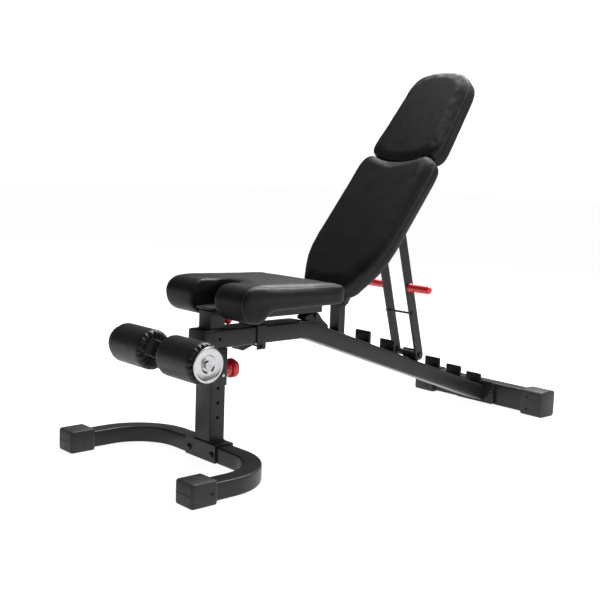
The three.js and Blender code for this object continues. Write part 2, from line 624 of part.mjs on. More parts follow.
// ---- rear flange, cross tube and caps ----
{
  const boltY = 68;
  const boltZ = rearTubeMidZ + 1;
  const flange = alongX(roundedRect(160, 76, 9, 0, 46), flangeFront, flangeBack, 0, 4);
  const body = roundedRect(REAR_TUBE_DEEP, REAR_TUBE_TALL, 6, REAR_TUBE_X + REAR_TUBE_DEEP / 2, rearTubeMidZ);
  let tube = alongY(body, -REAR_HALF + 8, REAR_HALF - 8, 0, 3);
  let drilled = flange;
  for (const side of [-1, 1]) {
    const hole = rodX(side * boltY, boltZ, 5.4, flangeFront - 10, rearCapBack + 20, 16);
    drilled = drilled.subtract(hole);
    tube = tube.subtract(hole);
  }
  add("frame", "rear_flange", drilled, "frame_paint");
  add("frame", "rear_foot_tube", tube, "frame_paint");
  const back = REAR_TUBE_X + REAR_TUBE_DEEP;
  let bolt = rodX(-boltY, boltZ, 5, flangeFront - 2, back + 4, 16);
  bolt = bolt.add(turnedX([[0, flangeFront - 6.5], [6, flangeFront - 6.5], [10, flangeFront - 3],
    [10.5, flangeFront - GAP], [0, flangeFront - GAP]], -boltY, boltZ, 20));
  bolt = bolt.add(rodX(-boltY, boltZ, 9.5, back + GAP, back + 7, 6));
  addPair("frame", "flange_bolt", bolt, "black_steel");

  const capIn = 191;
  const capFront = REAR_TUBE_X - 11;
  const shell = new THREE.Shape();
  const midX = (capFront + rearCapBack) / 2;
  shell.moveTo(capFront + 10, 0);
  shell.lineTo(rearCapBack - 10, 0);
  shell.quadraticCurveTo(rearCapBack, 0, rearCapBack, 12);
  shell.lineTo(rearCapBack, 75);
  shell.quadraticCurveTo(rearCapBack, 85, rearCapBack - 12, 86);
  shell.quadraticCurveTo(midX, 89, capFront + 12, 86);
  shell.quadraticCurveTo(capFront, 85, capFront, 75);
  shell.lineTo(capFront, 12);
  shell.quadraticCurveTo(capFront, 0, capFront + 10, 0);
  const outer = alongY(shell, -REAR_HALF, -capIn, 3, 4);
  const room = alongY(roundedRect(REAR_TUBE_DEEP + 0.8, REAR_TUBE_TALL + 0.8, 6,
    REAR_TUBE_X + REAR_TUBE_DEEP / 2, rearTubeMidZ), -REAR_HALF + 7.5, -capIn + 5, 0, 3);
  addPair("frame", "rear_cap", outer.subtract(room), "cap_rubber");
}

// ---- telescoping front foot ----
class FootLine extends THREE.CurvePath {
  constructor() {
    super();
    const straight = FOOT_LEG_Y - FOOT_BEND;
    const legEnd = FOOT_FRONT + 8;
    const z = FOOT_TUBE_Z + FOOT_TUBE_TALL / 2;
    const point = (x, y) => new THREE.Vector3(x, y, z);
    const bow = 0.5523 * FOOT_BEND;
    this.add(new THREE.LineCurve3(point(legEnd, -FOOT_LEG_Y), point(-FOOT_BEND, -FOOT_LEG_Y)));
    this.add(new THREE.CubicBezierCurve3(point(-FOOT_BEND, -FOOT_LEG_Y),
      point(-FOOT_BEND + bow, -FOOT_LEG_Y), point(0, -straight - bow), point(0, -straight)));
    this.add(new THREE.LineCurve3(point(0, -straight), point(0, straight)));
    this.add(new THREE.CubicBezierCurve3(point(0, straight), point(0, straight + bow),
      point(-FOOT_BEND + bow, FOOT_LEG_Y), point(-FOOT_BEND, FOOT_LEG_Y)));
    this.add(new THREE.LineCurve3(point(-FOOT_BEND, FOOT_LEG_Y), point(legEnd, FOOT_LEG_Y)));
  }

  getSpacedPoints() {
    const [leg, turn, , back, last] = this.curves;
    return [leg.getPoint(0), ...turn.getPoints(7), ...back.getPoints(7), last.getPoint(1)];
  }

  getPointAt(u) {
    const points = this.getSpacedPoints();
    return points[Math.round(u * (points.length - 1))];
  }

  getTangentAt(u) {
    const points = this.getSpacedPoints();
    const i = Math.round(u * (points.length - 1));
    const before = points[Math.max(i - 1, 0)];
    const after = points[Math.min(i + 1, points.length - 1)];
    const into = points[i].clone().sub(before).normalize();
    const out = after.clone().sub(points[i]).normalize();
    return into.add(out).normalize();
  }
}

const saddleBoltY = 50;
const saddleBoltZ = 26;
{
  let foot = sweptSection(new FootLine(), roundedRect(FOOT_TUBE_TALL, FOOT_TUBE_WIDE, 4), 17);
  const outerX = footHalf + GAP + 5;
  let saddle = box(-outerX, outerX, -66, 66, 6, saddleTop);
  saddle = saddle.subtract(box(-footHalf - GAP, footHalf + GAP, -80, 80, -5, footTop + GAP));
  for (const side of [-1, 1]) {
    const hole = rodX(side * saddleBoltY, saddleBoltZ, 4.4, -60, 60, 16);
    foot = foot.subtract(hole);
    saddle = saddle.subtract(hole);
  }
  add("foot", "front_foot_tube", foot, "frame_paint");
  add("foot", "foot_saddle", saddle, "frame_paint");
  let bolt = rodX(-saddleBoltY, saddleBoltZ, 4, -outerX - 1, outerX + 3, 16);
  bolt = bolt.add(turnedX([[0, -outerX - 6], [5, -outerX - 6], [8.5, -outerX - 3], [9, -outerX - GAP],
    [0, -outerX - GAP]], -saddleBoltY, saddleBoltZ, 20));
  bolt = bolt.add(rodX(-saddleBoltY, saddleBoltZ, 7.5, outerX + GAP, outerX + 6.5, 6));
  addPair("foot", "saddle_bolt", bolt, "black_steel");

  let post = alongZ(roundedRect(POST_X, POST_Y, 4.5), saddleTop + GAP, POST_TOP, 0, 3);
  for (let i = 0; i < HOLE_COUNT; i += 1) {
    const z = HOLE_FIRST + i * HOLE_PITCH;
    post = post.subtract(rodY(0, z, 4.6, -60, 60, 12));
    post = post.subtract(rodX(0, z + 1, 4.6, 6, 60, 12));
  }
  add("foot", "inner_post", post, "frame_paint");

  const capRear = FOOT_FRONT + FRONT_CAP_LONG;
  const capMidX = FOOT_FRONT + FRONT_CAP_LONG / 2;
  const plan = roundedRect(FRONT_CAP_LONG, FRONT_CAP_WIDE, 9, capMidX, -FOOT_LEG_Y);
  const shell = alongZ(plan, 0, FRONT_CAP_TALL, 6, 4);
  const room = alongX(roundedRect(FOOT_TUBE_WIDE + 0.8, FOOT_TUBE_TALL + 0.8, 4.4, -FOOT_LEG_Y,
    FOOT_TUBE_Z + FOOT_TUBE_TALL / 2), FOOT_FRONT + 7.5, capRear + 5, 0, 3);
  addPair("foot", "front_cap", shell.subtract(room), "cap_rubber");
}

// ---- reclining back ----
const backLine = onLine(BACK_START, BACK_ANGLE);
const headLine = onLine(HEAD_START, HEAD_ANGLE);

// A point given in the world (x, z), read along the back's line and behind its face.
function onBack(point) {
  const dx = point.x - BACK_START.x;
  const dz = point.z - BACK_START.z;
  const t = dx * Math.cos(BACK_ANGLE) + dz * Math.sin(BACK_ANGLE);
  const behind = dx * Math.sin(BACK_ANGLE) - dz * Math.cos(BACK_ANGLE);
  return { t, behind };
}

{
  const low = BACK_PAD_LOW;
  const high = BACK_PAD_HIGH;
  const half = BACK_PAD_HALF;
  const outline = new THREE.Shape();
  outline.moveTo(low, 0);
  outline.bezierCurveTo(low, 54, low + 4, 86, low + 30, 99);
  outline.bezierCurveTo(low + 72, 118, low + 96, half - 2, low + 190, half);
  outline.lineTo(low + 440, half - 1);
  outline.bezierCurveTo(high - 24, half - 2, high - 2, half - 12, high, 108);
  outline.quadraticCurveTo(high - 22, 56, high - 23, 0);
  outline.quadraticCurveTo(high - 22, -56, high, -108);
  outline.bezierCurveTo(high - 2, -half + 12, high - 24, -half + 2, low + 440, -half + 1);
  outline.lineTo(low + 190, -half);
  outline.bezierCurveTo(low + 96, -half + 2, low + 72, -118, low + 30, -99);
  outline.bezierCurveTo(low + 4, -86, low, -54, low, 0);
  const bulk = alongZ(outline, -BACK_PAD_THICK, 0, 15, 5);
  // The lower end rolls under in a larger radius than the other edges.
  const roll = new THREE.Shape();
  roll.moveTo(low, -BACK_PAD_THICK - 5);
  roll.lineTo(low, -34);
  roll.quadraticCurveTo(low + 1, 0, low + 40, 0);
  roll.lineTo(high + 20, 1);
  roll.lineTo(high + 20, -BACK_PAD_THICK - 5);
  const boardBehind = BACK_PAD_THICK + BOARD_PROUD;
  const boardShape = roundedRect(400, 190, 24, (low + high) / 2 - 4, 0);
  const board = alongZ(boardShape, -boardBehind, -boardBehind + 12, 0, 4);
  const recess = box((low + high) / 2 - 205, (low + high) / 2 + 197, -96, 96, -90, -boardBehind + 12 + GAP);
  const pad = bulk.intersect(alongY(roll, -200, 200, 0, 6)).subtract(recess);
  add("back", "back_pad", moved(pad, backLine), "vinyl");
  add("back", "back_board", moved(board, backLine), "board");
}

{
  const half = HEAD_PAD_HALF;
  const long = HEAD_PAD_LONG;
  const outline = new THREE.Shape();
  outline.moveTo(-14, 0);
  outline.bezierCurveTo(-14, 60, 2, 96, 15, 119);
  outline.bezierCurveTo(24, half, 40, half + 1, 62, half);
  outline.lineTo(262, 115);
  outline.bezierCurveTo(306, 108, long - 12, 96, long - 5, 50);
  outline.quadraticCurveTo(long, 22, long, 0);
  outline.quadraticCurveTo(long, -22, long - 5, -50);
  outline.bezierCurveTo(long - 12, -96, 306, -108, 262, -115);
  outline.lineTo(62, -half);
  outline.bezierCurveTo(40, -half - 1, 24, -half, 15, -119);
  outline.bezierCurveTo(2, -96, -14, -60, -14, 0);
  const front = -headSetBack;
  const back = front - HEAD_PAD_THICK;
  const bulk = alongZ(outline, back, front, 10, 5);
  const board = alongZ(roundedRect(220, 150, 20, 160, 0), back - BOARD_PROUD, back + 10.5, 0, 4);
  const recess = box(49, 271, -76, 76, back - 20, back + 10.5 + GAP);
  add("back", "head_pad", moved(bulk.subtract(recess), headLine), "vinyl");
  add("back", "head_board", moved(board, headLine), "board");
}

{
  const hinge = onBack(BACK_HINGE);
  const strut = onBack(STRUT_TOP);
  const joint = onBack(HEAD_START).t - 22;
  const tubeMid = -(tubeFront + tubeBack) / 2;
  // The straight tube behind the back pad, with two ears that reach down to the pivot.
  const lower = alongX(roundedRect(BACK_TUBE, BACK_TUBE, 4, 0, tubeMid), hinge.t + 26, joint, 0, 3);
  const ear = linkShape([hinge.t, -hinge.behind], [hinge.t + 70, tubeMid], 15);
  const ears = alongY(ear, -earOut, -earIn).add(alongY(ear, earIn, earOut));
  const cross = rodY(strut.t, -strut.behind, 14, -STRUT_IN + 0.5, STRUT_IN - 0.5, 24);
  let frame = moved(lower.add(ears).add(cross), backLine);
  // The upper tube follows the head pad's own slope.
  const headTubeFront = headSetBack + HEAD_PAD_THICK + BOARD_PROUD + GAP;
  const upper = alongX(roundedRect(BACK_TUBE - 2, BACK_TUBE - 4, 4, 0, -headTubeFront - BACK_TUBE / 2 + 2),
    -34, 262, 0, 3);
  frame = frame.add(moved(upper, headLine));
  const pivot = rodY(BACK_HINGE.x, BACK_HINGE.z, 6.4, -60, 60, 20);
  const strutEye = rodY(STRUT_TOP.x, STRUT_TOP.z, 6.4, -60, 60, 20);
  add("back", "back_frame", frame.subtract(pivot).subtract(strutEye), "frame_paint");

  const outer = STRUT_IN + STRUT_THICK;
  let bolt = rodY(STRUT_TOP.x, STRUT_TOP.z, 6, -outer - 1, outer + 1, 20);
  bolt = bolt.add(rodY(STRUT_TOP.x, STRUT_TOP.z, 10.5, -outer - 8, -outer - GAP, 6));
  bolt = bolt.add(rodY(STRUT_TOP.x, STRUT_TOP.z, 10.5, outer + GAP, outer + 8, 6));
  add("back", "strut_pivot_bolt", bolt, "black_steel");
}

// ---- strut ----
{
  const outer = STRUT_IN + STRUT_THICK;
  const lean = (STRUT_FOOT.x - STRUT_TOP.x) / (STRUT_TOP.z - STRUT_FOOT.z);
  const along = (z) => STRUT_TOP.x + (STRUT_TOP.z - z) * lean;
  const midZ = 349.6;
  const midX = along(midZ) - 8;
  const gripZ = 432;
  const gripX = along(gripZ) - 2;
  const bar = linkShape([STRUT_TOP.x, STRUT_TOP.z], [STRUT_FOOT.x, STRUT_FOOT.z], STRUT_WIDE / 2);
  let near = alongY(bar, -outer, -STRUT_IN, 0, 8);
  near = near.subtract(rodY(STRUT_TOP.x, STRUT_TOP.z, 6.4, -60, 60, 20));
  near = near.subtract(rodY(midX, midZ, 3.9, -60, 60, 14));
  near = near.subtract(rodY(STRUT_FOOT.x, STRUT_FOOT.z, 5.4, -60, 60, 16));
  addPair("strut", "strut_bar", near, "frame_paint");

  let mid = rodY(midX, midZ, 3.5, -outer - 1, outer + 1, 14);
  mid = mid.add(rodY(midX, midZ, 6.5, -outer - 5, -outer - GAP, 6));
  mid = mid.add(rodY(midX, midZ, 6.5, outer + GAP, outer + 5, 6));
  add("strut", "strut_mid_rod", mid, "black_steel");

  let foot = rodY(STRUT_FOOT.x, STRUT_FOOT.z, FOOT_ROD_R, -STRUT_IN + GAP, STRUT_IN - GAP, 24);
  foot = foot.add(rodY(STRUT_FOOT.x, STRUT_FOOT.z, 5, -outer - 1, outer + 1, 16));
  foot = foot.add(rodY(STRUT_FOOT.x, STRUT_FOOT.z, 9, -outer - 6, -outer - GAP, 6));
  foot = foot.add(rodY(STRUT_FOOT.x, STRUT_FOOT.z, 9, outer + GAP, outer + 6, 6));
  add("strut", "strut_foot_rod", foot, "black_steel");

  const g0 = outer + GAP;
  const grip = turnedY([[0, g0], [GRIP_R + 2, g0], [GRIP_R + 2, g0 + 4], [GRIP_R, g0 + 6],
    [GRIP_R, GRIP_OUT - 4], [GRIP_R - 4, GRIP_OUT], [0, GRIP_OUT]], gripX, gripZ, 24);
  add("strut", "grip_near", mirrored(grip), "red_plastic");
  add("strut", "grip_far", grip, "red_plastic");
}

bench.position.x = -centreX;

export default bench;
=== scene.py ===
"""Looks of the decline sit-up bench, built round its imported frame. Metres, +Z up."""
import json
import math
import random

import bmesh
import bpy
import numpy as np
from mathutils import Matrix, Vector


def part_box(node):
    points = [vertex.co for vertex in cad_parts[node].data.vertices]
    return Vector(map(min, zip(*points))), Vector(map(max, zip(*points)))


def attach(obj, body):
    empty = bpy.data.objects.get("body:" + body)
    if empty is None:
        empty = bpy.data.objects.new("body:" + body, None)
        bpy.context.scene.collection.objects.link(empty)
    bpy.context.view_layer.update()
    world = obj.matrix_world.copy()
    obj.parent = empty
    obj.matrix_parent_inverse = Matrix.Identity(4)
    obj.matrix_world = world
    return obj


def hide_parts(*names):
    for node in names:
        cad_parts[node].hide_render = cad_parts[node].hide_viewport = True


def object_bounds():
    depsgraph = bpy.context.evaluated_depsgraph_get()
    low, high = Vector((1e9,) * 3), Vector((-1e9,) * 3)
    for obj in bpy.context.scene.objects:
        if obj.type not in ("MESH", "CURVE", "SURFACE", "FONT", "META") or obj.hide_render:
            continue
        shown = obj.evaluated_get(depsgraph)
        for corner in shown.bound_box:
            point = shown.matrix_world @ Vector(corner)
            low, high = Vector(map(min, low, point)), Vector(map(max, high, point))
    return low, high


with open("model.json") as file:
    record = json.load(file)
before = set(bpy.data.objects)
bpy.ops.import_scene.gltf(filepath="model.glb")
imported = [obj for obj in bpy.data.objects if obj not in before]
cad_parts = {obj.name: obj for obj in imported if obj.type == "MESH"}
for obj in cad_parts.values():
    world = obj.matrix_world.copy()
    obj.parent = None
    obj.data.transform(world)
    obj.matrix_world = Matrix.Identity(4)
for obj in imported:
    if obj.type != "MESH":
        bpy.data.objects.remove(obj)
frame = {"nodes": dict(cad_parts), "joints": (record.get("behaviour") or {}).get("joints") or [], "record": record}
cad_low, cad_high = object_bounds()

MM = 0.001
X = Vector((1, 0, 0))
Y = Vector((0, 1, 0))
Z = Vector((0, 0, 1))
SPINE_SLOPE = math.radians(19.19)
BACK_SLOPE = math.radians(51.93)
HEAD_SLOPE = math.radians(54)
PIVOT_BEHIND = 86.5 * MM  # the back's pivot behind the pad's face
SCREW_R = 5 * MM
REAR_SCREW_Y = 215 * MM
REAR_SCREW_Z = (20 * MM, 60 * MM)
PLUMP = 2.2 * MM  # what smoothing takes off a pad
ROOM_LIGHT = 0.14  # light from all round, on everything but the camera
draw = random.Random(7)
scene = bpy.context.scene


# ---------------------------------------------------------------- camera
def make_camera():
    azimuth, height, roll = (math.radians(a) for a in (-42.4, 7.53, 2.04))
    right = Vector((math.cos(azimuth), math.sin(azimuth), 0))
    level = math.cos(height)
    back = Vector((math.sin(azimuth) * level, -math.cos(azimuth) * level, math.sin(height)))
    up = back.cross(right)
    across = math.cos(roll) * right + math.sin(roll) * up
    upward = -math.sin(roll) * right + math.cos(roll) * up
    data = bpy.data.cameras.new("camera")
    data.sensor_width = 36
    data.lens = 59.08
    camera = bpy.data.objects.new("camera", data)
    scene.collection.objects.link(camera)
    turn = Matrix((across, upward, back)).transposed().to_4x4()
    camera.matrix_world = Matrix.Translation(Vector((-2.0459, -2.0662, 0.7829))) @ turn
    scene.camera = camera


# ---------------------------------------------------------------- materials
class Look:
    """A node material under construction."""

    def __init__(self, name):
        self.material = bpy.data.materials.new(name)
        self.material.use_nodes = True
        self.tree = self.material.node_tree
        self.shader = self.tree.nodes["Principled BSDF"]
        self.place = self.node("ShaderNodeTexCoord").outputs["Object"]
        self.normal = None

    def node(self, kind, **inputs):
        made = self.tree.nodes.new(kind)
        for key, value in inputs.items():
            made.inputs[key.replace("_", " ")].default_value = value
        return made

    def link(self, a, b):
        self.tree.links.new(a, b)

    def noise(self, scale, detail=4.0, rough=0.55, stretch=None):
        made = self.node("ShaderNodeTexNoise", Scale=scale, Detail=detail, Roughness=rough)
        place = self.place
        if stretch:
            mapping = self.node("ShaderNodeMapping")
            mapping.inputs["Scale"].default_value = stretch
            self.link(place, mapping.inputs["Vector"])
            place = mapping.outputs["Vector"]
        self.link(place, made.inputs["Vector"])
        return made.outputs["Fac"]

    def cells(self, scale):
        made = self.node("ShaderNodeTexVoronoi", Scale=scale)
        made.feature = "DISTANCE_TO_EDGE"
        self.link(self.place, made.inputs["Vector"])
        return made.outputs["Distance"]

    def ramp(self, source, low, high, colour_low, colour_high):
        made = self.node("ShaderNodeValToRGB")
        ends = made.color_ramp.elements
        ends[0].position, ends[1].position = low, high
        ends[0].color, ends[1].color = (*colour_low, 1), (*colour_high, 1)
        self.link(source, made.inputs["Fac"])
        return made.outputs["Color"]

    def base(self, source, low, high, colour_low, colour_high):
        self.link(self.ramp(source, low, high, colour_low, colour_high), self.shader.inputs["Base Color"])

    def roughness(self, source, low, high):
        made = self.node("ShaderNodeMapRange")
        made.inputs["From Min"].default_value = 0.3
        made.inputs["From Max"].default_value = 0.7
        made.inputs["To Min"].default_value = low
        made.inputs["To Max"].default_value = high
        self.link(source, made.inputs["Value"])
        self.link(made.outputs["Result"], self.shader.inputs["Roughness"])

    def bump(self, source, strength, distance):
        made = self.node("ShaderNodeBump", Strength=strength, Distance=distance)
        self.link(source, made.inputs["Height"])
        if self.normal:
            self.link(self.normal, made.inputs["Normal"])
        self.normal = made.outputs["Normal"]
        self.link(self.normal, self.shader.inputs["Normal"])

    def set(self, **values):
        for key, value in values.items():
            self.shader.inputs[key.replace("_", " ")].default_value = value
        return self


def grey(value, tint=(1.0, 1.0, 1.0)):
    return tuple(value * t for t in tint)


def painted(name, value, low, high):
    look = Look(name)
    look.base(look.noise(35), 0.3, 0.7, grey(value * 0.9), grey(value * 1.12, (1, 1.01, 1.03)))
    look.roughness(look.noise(60, 6), low, high)
    look.bump(look.noise(1500, 3), 0.12, 0.0004)
    look.bump(look.noise(260, 2), 0.06, 0.0008)
    look.set(Specular_IOR_Level=0.3)
    return look.material


def make_materials():
    looks = {}
    looks["frame_paint"] = painted("frame_paint", 0.014, 0.34, 0.44)
    looks["dark_paint"] = painted("dark_paint", 0.009, 0.4, 0.52)
    looks["black_steel"] = painted("black_steel", 0.012, 0.3, 0.42)

    look = Look("zinc").set(Metallic=1.0)
    look.base(look.noise(90), 0.3, 0.7, (0.36, 0.37, 0.38), (0.5, 0.51, 0.52))
    look.roughness(look.noise(400, 5), 0.18, 0.34)
    look.bump(look.noise(900, 4), 0.05, 0.0003)
    looks["zinc"] = look.material

    look = Look("chrome").set(Metallic=1.0)
    look.base(look.noise(60), 0.3, 0.7, (0.42, 0.43, 0.44), (0.54, 0.54, 0.55))
    look.roughness(look.noise(200, 5), 0.12, 0.2)
    look.bump(look.noise(500, 3, stretch=(1, 6, 1)), 0.03, 0.0003)
    looks["chrome"] = look.material

    look = Look("cap_rubber").set(Specular_IOR_Level=0.35)
    look.base(look.noise(50), 0.3, 0.7, grey(0.022), grey(0.032))
    look.roughness(look.noise(120, 5), 0.5, 0.64)
    look.bump(look.cells(1400), 0.12, 0.0003)
    looks["cap_rubber"] = look.material

    look = Look("foam").set(Specular_IOR_Level=0.3)
    look.base(look.noise(30), 0.3, 0.7, grey(0.007), grey(0.011))
    look.roughness(look.noise(80, 5), 0.36, 0.48)
    look.bump(look.cells(900), 0.1, 0.0003)
    look.bump(look.noise(45, 3), 0.1, 0.002)
    looks["foam"] = look.material

    look = Look("vinyl").set(Specular_IOR_Level=0.16)
    look.base(look.noise(14), 0.3, 0.7, grey(0.007, (1, 1, 1.01)), grey(0.0105, (1, 1, 1.02)))
    look.roughness(look.noise(40, 6), 0.42, 0.54)
    look.bump(look.cells(750), 0.16, 0.0004)
    look.bump(look.noise(320, 3), 0.08, 0.0005)
    look.bump(look.noise(18, 2), 0.1, 0.003)
    looks["vinyl"] = look.material

    look = Look("thread").set(Specular_IOR_Level=0.4)
    look.base(look.noise(900, stretch=(1, 1, 1)), 0.35, 0.65, grey(0.02), grey(0.045))
    look.roughness(look.noise(300), 0.55, 0.7)
    look.bump(look.noise(1600), 0.3, 0.0003)
    looks["thread"] = look.material

    look = Look("board")
    look.base(look.noise(60, 6, stretch=(1, 9, 1)), 0.3, 0.7, (0.015, 0.012, 0.01), (0.035, 0.029, 0.024))
    look.roughness(look.noise(150, 5), 0.62, 0.8)
    look.bump(look.noise(300, 5, stretch=(1, 7, 1)), 0.25, 0.0006)
    looks["board"] = look.material

    look = Look("red_plastic").set(Coat_Weight=0.25, Coat_Roughness=0.15)
    look.base(look.noise(40), 0.3, 0.7, (0.58, 0.008, 0.016), (0.7, 0.014, 0.024))
    look.roughness(look.noise(200, 5), 0.28, 0.4)
    look.bump(look.noise(900, 3), 0.08, 0.0003)
    looks["red_plastic"] = look.material

    look = Look("black_plastic")
    look.base(look.noise(50), 0.3, 0.7, grey(0.018), grey(0.03))
    look.roughness(look.noise(150, 5), 0.38, 0.5)
    look.bump(look.noise(1200, 3), 0.12, 0.0003)
    looks["black_plastic"] = look.material

    look = Look("floor").set(Specular_IOR_Level=0.0, Emission_Color=(1, 1, 1, 1), Emission_Strength=0.95)
    look.base(look.noise(3), 0.3, 0.7, grey(0.24), grey(0.27))
    look.roughness(look.noise(20), 0.9, 0.95)
    looks["floor"] = look.material
    return looks


# ---------------------------------------------------------------- mesh helpers
def new_piece(name, vertices, faces, body, slot, look=None, smooth=True):
    mesh = bpy.data.meshes.new(name)
    mesh.from_pydata([tuple(v) for v in vertices], [], faces)
    mesh.validate()
    bm = bmesh.new()
    bm.from_mesh(mesh)
    bmesh.ops.recalc_face_normals(bm, faces=bm.faces)
    bm.to_mesh(mesh)
    bm.free()
    return finish_piece(mesh, name, body, slot, look, smooth)


def finish_piece(mesh, name, body, slot, look=None, smooth=True):
    piece = bpy.data.objects.new(name, mesh)
    scene.collection.objects.link(piece)
    mesh.materials.clear()
    mesh.materials.append(looks[look or slot])
    for face in mesh.polygons:
        face.use_smooth = smooth
    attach(piece, body)
    return piece


def body_of(node):
    for name, members in frame["record"]["behaviour"]["bodies"].items():
        if node in members:
            return name
    raise ValueError(node)


def side_axes(axis):
    """Two directions that with axis make a right-handed set."""
    first = Z if abs(axis.z) < 0.9 else X
    u = axis.cross(first).normalized()
    return u, axis.cross(u).normalized()


def lathe(name, profile, centre, axis, sides, body, slot, look=None, shape=None):
    """Turns [radius, height] points about axis through centre; shape may move each (r, h, angle)."""
    u, v = side_axes(axis)
    vertices, faces = [], []
    for r, h in profile:
        for k in range(sides):
            a = 2 * math.pi * k / sides
            rr, hh = shape(r, h, a) if shape else (r, h)
            vertices.append(centre + axis * hh + (u * math.cos(a) + v * math.sin(a)) * rr)
    for i in range(len(profile) - 1):
        for k in range(sides):
            n = (k + 1) % sides
            faces.append((i * sides + k, i * sides + n, (i + 1) * sides + n, (i + 1) * sides + k))
    faces.append(tuple(range(sides)))
    faces.append(tuple((len(profile) - 1) * sides + k for k in range(sides)))
    return new_piece(name, vertices, faces, body, slot, look)


def rounded(profile, radius, steps=5):
    """The same [radius, height] line with its inner corners rounded."""
    out = [profile[0]]
    for before, here, after in zip(profile, profile[1:], profile[2:]):
        a, b, c = (Vector(p) for p in (before, here, after))
        r = min(radius, (a - b).length * 0.45, (c - b).length * 0.45)
        start, end = b + (a - b).normalized() * r, b + (c - b).normalized() * r
        for i in range(steps + 1):
            t = i / steps
            out.append(tuple((1 - t) ** 2 * start + 2 * t * (1 - t) * b + t * t * end))
    out.append(profile[-1])
    return out


def sweep(points, section, closed=False):
    """Vertices and faces of a section carried along points; section(i, angle axes) gives offsets."""
    count = len(points)
    vertices, faces = [], []
    last = None
    rows = []
    for i, p in enumerate(points):
        before = points[(i - 1) % count] if closed or i else p
        after = points[(i + 1) % count] if closed or i < count - 1 else p
        tangent = (after - before).normalized()
        if last is None:
            u, _ = side_axes(tangent)
        else:
            u = (last - tangent * last.dot(tangent)).normalized()
        last = u
        v = tangent.cross(u)
        offsets = section(i)
        rows.append(len(offsets))
        vertices += [p + u * a + v * b for a, b in offsets]
    n = rows[0]
    spans = count if closed else count - 1
    for i in range(spans):
        j = (i + 1) % count
        for k in range(n):
            m = (k + 1) % n
            faces.append((i * n + k, i * n + m, j * n + m, j * n + k))
    if not closed:
        faces.append(tuple(range(n)))
        faces.append(tuple((count - 1) * n + k for k in range(n)))
    return vertices, faces


def tube(name, points, radius, body, slot, look=None, closed=False, sides=8, ripple=None):
    def section(i):
        r = radius * (ripple(i) if ripple else 1)
        turns = [2 * math.pi * k / sides for k in range(sides)]
        return [(r * math.cos(turn), r * math.sin(turn)) for turn in turns]

    vertices, faces = sweep(points, section, closed)
    return new_piece(name, vertices, faces, body, slot, look)


def resample(points, step, closed):
    line = list(points) + ([points[0]] if closed else [])
    lengths = [0.0]
    for a, b in zip(line, line[1:]):
        lengths.append(lengths[-1] + (b - a).length)
    count = max(int(lengths[-1] / step), 4)
    out, j = [], 0
    for i in range(count if closed else count + 1):
        s = lengths[-1] * i / count
        while j < len(lengths) - 2 and lengths[j + 1] < s:
            j += 1
        t = (s - lengths[j]) / max(lengths[j + 1] - lengths[j], 1e-9)
        out.append(line[j].lerp(line[j + 1], t))
    return out


def weld(name, corners, radius, body, closed=True):
    """A rippled weld bead along straight runs between corners."""
    points = resample(corners, 1.3 * MM, closed)
    jitter = [1 + draw.uniform(-0.06, 0.06) for _ in points]

    def ripple(i):
        return jitter[i] * (1 + 0.16 * math.sin(2 * math.pi * i / 4.2))

    return tube(name, points, radius, body, "frame_paint", closed=closed, sides=8, ripple=ripple)


def rectangle(centre, u, v, half_u, half_v, corner=4 * MM):
    """Corner points of a rounded rectangle."""
    out = []
    for su, sv, start in ((1, 1, 0), (-1, 1, 90), (-1, -1, 180), (1, -1, 270)):
        for step in range(4):
            a = math.radians(start + 30 * step)
            out.append(centre + u * (su * (half_u - corner) + corner * math.cos(a))
                       + v * (sv * (half_v - corner) + corner * math.sin(a)))
    return out


def soften_cad(node, width, angle=40, segments=3):
    """Rounds a CAD node's sharp edges with modifiers; its own mesh stays as it is."""
    piece = frame["nodes"][node]
    custom = piece.data.attributes.get("custom_normal")
    if custom:
        piece.data.attributes.remove(custom)
    for face in piece.data.polygons:
        face.use_smooth = True
    piece.modifiers.new("weld", "WELD").merge_threshold = 1e-5
    flat = piece.modifiers.new("flat", "DECIMATE")
    flat.decimate_type = "DISSOLVE"
    flat.angle_limit = math.radians(0.4)
    edge = piece.modifiers.new("edge", "BEVEL")
    edge.width = width
    edge.segments = segments
    edge.limit_method = "ANGLE"
    edge.angle_limit = math.radians(angle)
    edge.harden_normals = True
    edge.use_clamp_overlap = True


def evaluated_mesh(piece):
    graph = bpy.context.evaluated_depsgraph_get()
    return bpy.data.meshes.new_from_object(piece.evaluated_get(graph))


def line_length(points):
    return sum((a - b).length for a, b in zip(points, points[1:]))


def cut_loop(mesh, point, normal):
    """The longest closed line where a plane cuts a mesh."""
    bm = bmesh.new()
    bm.from_mesh(mesh)
    bmesh.ops.remove_doubles(bm, verts=bm.verts, dist=1e-6)
    everything = bm.verts[:] + bm.edges[:] + bm.faces[:]
    result = bmesh.ops.bisect_plane(bm, geom=everything, plane_co=point, plane_no=normal)
    edges = [g for g in result["geom_cut"] if isinstance(g, bmesh.types.BMEdge)]
    near = {}
    for e in edges:
        for v in e.verts:
            near.setdefault(v, []).append(e.other_vert(v))
    best, seen = [], set()
    for start in near:
        if start in seen:
            continue
        line, here = [start], start
        seen.add(start)
        while True:
            step = [v for v in near[here] if v not in seen]
            if not step:
                break
            here = step[0]
            seen.add(here)
            line.append(here)
        if len(line) > 3:
            co = [v.co.copy() for v in line]
            if line_length(co) > line_length(best):
                best = co
    bm.free()
    return best


